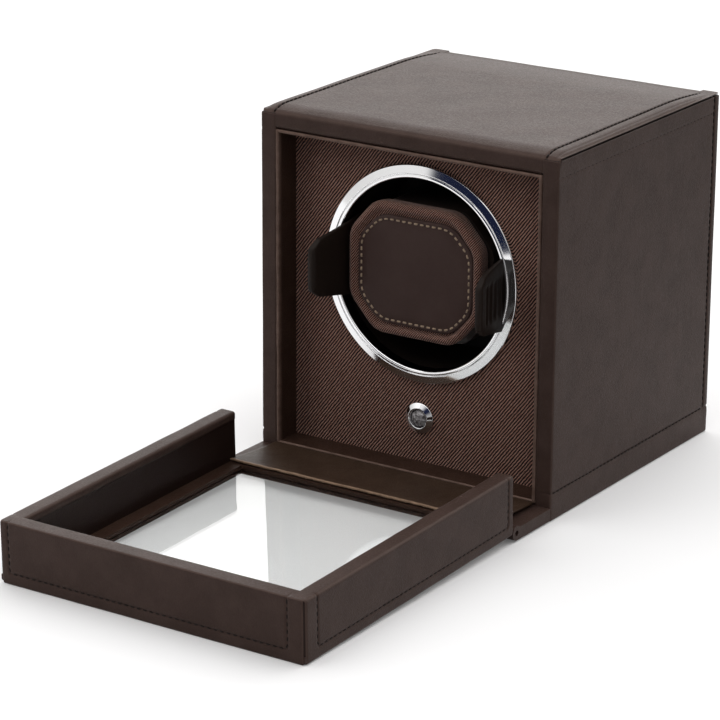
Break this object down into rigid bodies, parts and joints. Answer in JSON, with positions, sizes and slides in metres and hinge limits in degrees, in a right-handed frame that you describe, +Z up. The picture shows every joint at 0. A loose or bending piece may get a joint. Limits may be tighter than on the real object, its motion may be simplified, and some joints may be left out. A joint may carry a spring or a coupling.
{
  "type": "watch winder",
  "caption": "Leather-covered cube watch winder with a drop-down glazed lid, chrome ring, turning drum, removable watch cuff with squeeze tabs and a push button.",
  "frame": {"origin": "centre of the case's footprint on the surface it stands on", "axes": "+Z up; -Y is the front, towards which the open lid lies; +X is to the right seen from the front"},
  "size_m": [0.15, 0.3241, 0.16],
  "materials": {
    "leather": "semi-matt dark brown grained leather over board",
    "liner_leather": "matt dark brown leather, thinner and softer",
    "plate_leather": "smooth dark brown leather",
    "twill": "dark brown twill cloth",
    "felt": "black felt",
    "chrome": "polished",
    "clear_plastic": "clear, polished",
    "black_plastic": "fine matt",
    "tab_plastic": "satin",
    "gear_plastic": "natural",
    "bronze": "sintered",
    "steel": "plain",
    "circuit_green": "lacquered",
    "glass": "clear"
  },
  "bodies": {
    "case": {"base_felt": "felt", "case_top": "leather", "case_top_board": "leather", "case_side_left": "leather", "case_side_right": "leather", "case_back": "leather", "case_bottom": "leather", "case_magnets": "steel", "liner_frame": "liner_leather", "front_panel": "twill", "bezel_ring": "chrome", "button_ring": "chrome", "switch_housing": "black_plastic", "button_spring": "steel", "chassis_plate": "black_plastic", "bush_front": "bronze", "bush_rear": "bronze", "gearbox": "black_plastic", "motor_can": "steel", "motor_screws": "steel", "control_board": "circuit_green", "board_parts": "black_plastic", "board_spacers": "steel", "board_screws": "steel", "power_inlet": "black_plastic", "inlet_nut": "steel", "hinge_board": "leather", "hinge_pin": "steel", "hinge_cover": "liner_leather"},
    "lid": {"lid_hinge": "liner_leather", "lid_face_frame": "leather", "lid_glass": "glass", "glass_retainer": "liner_leather", "lid_wall_left": "leather", "lid_wall_right": "leather", "lid_wall_top": "leather", "lid_magnets": "steel"},
    "drum": {"drum_cup": "black_plastic", "drum_gear": "gear_plastic", "drum_shaft": "steel", "shaft_clip": "steel"},
    "pinion": {"motor_pinion": "gear_plastic", "motor_shaft": "steel"},
    "cuff": {"cuff_plate": "plate_leather", "cuff_pad": "twill", "cuff_core": "black_plastic", "tab_spring_left": "steel", "tab_spring_right": "steel"},
    "tab_right": {"cuff_tab_right": "tab_plastic"},
    "tab_left": {"cuff_tab_left": "tab_plastic"},
    "button": {"button_cap": "clear_plastic"}
  },
  "joints": [
    {"name": "lid_hinge", "type": "hinge", "parent": "case", "child": "lid", "pos_m": [0, -0.0975, 0.004], "axis": [-1, 0, 0], "range_deg": [0, 91.42], "deforming": ["hinge_cover"]},
    {"name": "drum_spin", "type": "hinge", "parent": "case", "child": "drum", "pos_m": [0, 0, 0.0943], "axis": [0, 1, 0], "continuous": true},
    {"name": "pinion_spin", "type": "hinge", "parent": "case", "child": "pinion", "pos_m": [0, 0, 0.0582], "axis": [0, 1, 0], "continuous": true},
    {"name": "cuff_pull", "type": "slide", "parent": "drum", "child": "cuff", "axis": [0, 1, 0], "range_m": [-0.045, 0]},
    {"name": "tab_right_squeeze", "type": "slide", "parent": "cuff", "child": "tab_right", "axis": [-1, 0, 0], "range_m": [0, 0.0012], "stiffness_N_per_m": 1500, "springref_m": -0.001, "deforming": ["tab_spring_right"]},
    {"name": "tab_left_squeeze", "type": "slide", "parent": "cuff", "child": "tab_left", "axis": [1, 0, 0], "range_m": [0, 0.0012], "stiffness_N_per_m": 1500, "springref_m": -0.001, "deforming": ["tab_spring_left"]},
    {"name": "button_press", "type": "slide", "parent": "case", "child": "button", "axis": [0, 1, 0], "range_m": [0, 0.001], "stiffness_N_per_m": 1200, "springref_m": -0.001, "deforming": ["button_spring"]}
  ],
  "couplings": [
    {"joint": "pinion_spin", "follows": "drum_spin", "ratio": -5}
  ]
}
